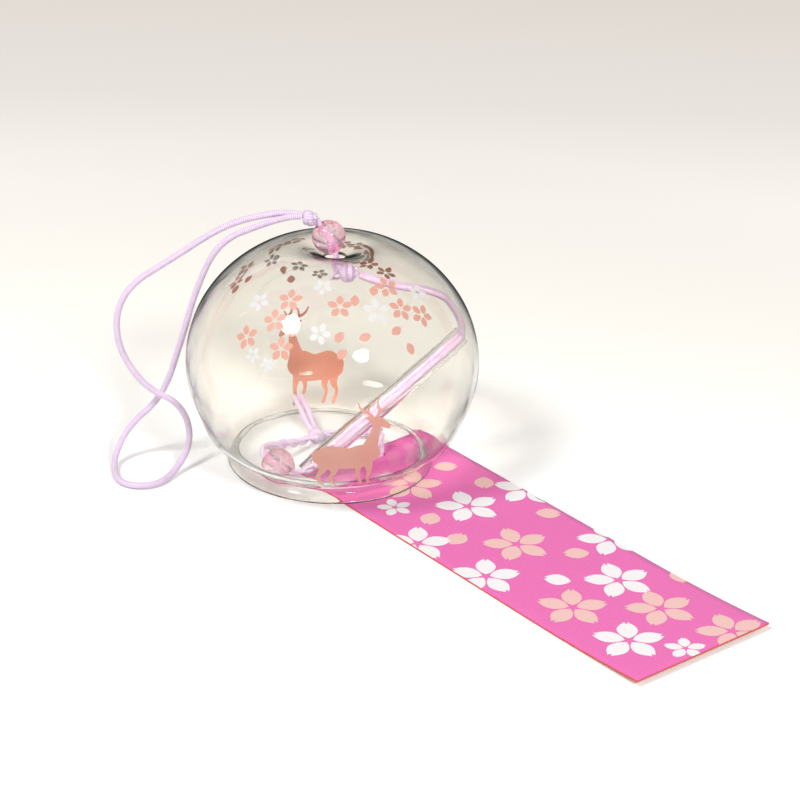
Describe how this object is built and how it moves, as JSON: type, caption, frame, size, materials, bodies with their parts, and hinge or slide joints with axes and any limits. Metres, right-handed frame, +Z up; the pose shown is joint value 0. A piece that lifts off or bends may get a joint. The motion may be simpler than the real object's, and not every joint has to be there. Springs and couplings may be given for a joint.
{
  "type": "glass wind bell",
  "caption": "Blown glass wind bell on a hanging cord, with a leaning clapper tube inside and a long paper wind strip under its lip.",
  "frame": {"origin": "on the table, under the centre of the globe, on the globe's axis", "axes": "+Z up along the globe's axis, +X along the paper strip from the globe to its free end, +Y to the left of the strip seen from the globe"},
  "size_m": [0.175, 0.097, 0.0732],
  "materials": {
    "blown_glass": "clear, glossy, blown",
    "printed_paper": "matte printed paper",
    "pink_bead": "glossy, clear pink",
    "clear_tube": "clear, glossy",
    "lilac_cord": "satin braided cord"
  },
  "bodies": {
    "globe": {"glass_globe": "blown_glass", "lower_link": "lilac_cord", "bead_cord": "lilac_cord", "tie_knot": "lilac_cord", "tie_tail_left": "lilac_cord", "tie_tail_right": "lilac_cord", "strip_cord": "lilac_cord", "inner_cord_left": "lilac_cord", "inner_cord_right": "lilac_cord"},
    "crown_cord": {"crown_cord": "lilac_cord", "top_knot": "lilac_cord", "stopper_knot": "lilac_cord"},
    "hanging_loop": {"hanging_loop": "lilac_cord"},
    "top_bead": {"top_bead": "pink_bead"},
    "tube_cord": {"tube_cord_left": "lilac_cord", "tube_cord_right": "lilac_cord"},
    "clapper_tube": {"clapper_tube": "clear_tube"},
    "lower_bead": {"lower_bead": "pink_bead"},
    "paper_strip": {"paper_strip": "printed_paper"}
  },
  "joints": [
    {"name": "loop_swivel", "type": "hinge", "parent": "globe", "child": "crown_cord", "pos_m": [0, 0, 0.0605], "axis": [0, 0, 1], "range_deg": [-45, 45], "deforming": ["inner_cord_left", "inner_cord_right"]},
    {"name": "loop_lift", "type": "hinge", "parent": "crown_cord", "child": "hanging_loop", "pos_m": [-0.00655, -0.00788, 0.07205], "axis": [-0.7688, 0.6394, 0], "range_deg": [0, 100]},
    {"name": "top_bead_spin", "type": "hinge", "parent": "crown_cord", "child": "top_bead", "pos_m": [-0.00115, -0.00138, 0.06599], "axis": [-0.3848, -0.4627, 0.7986], "continuous": true},
    {"name": "tube_tilt", "type": "hinge", "parent": "globe", "child": "tube_cord", "pos_m": [0.00668, -0.01376, 0.00276], "axis": [0.969, -0.247, 0], "range_deg": [0, 25], "deforming": ["inner_cord_left", "inner_cord_right", "lower_link"]},
    {"name": "tube_spin", "type": "hinge", "parent": "tube_cord", "child": "clapper_tube", "pos_m": [0.00668, -0.01376, 0.00276], "axis": [0.1987, 0.7794, 0.5941], "continuous": true},
    {"name": "lower_bead_spin", "type": "hinge", "parent": "globe", "child": "lower_bead", "pos_m": [0.00188, -0.01921, 0.0045], "axis": [-0.8561, -0.3269, 0.4003], "continuous": true},
    {"name": "strip_swivel", "type": "hinge", "parent": "globe", "child": "paper_strip", "pos_m": [0.0064, 0.0126, 0], "axis": [0, 0, 1], "range_deg": [-25, 25], "deforming": ["strip_cord"]}
  ]
}
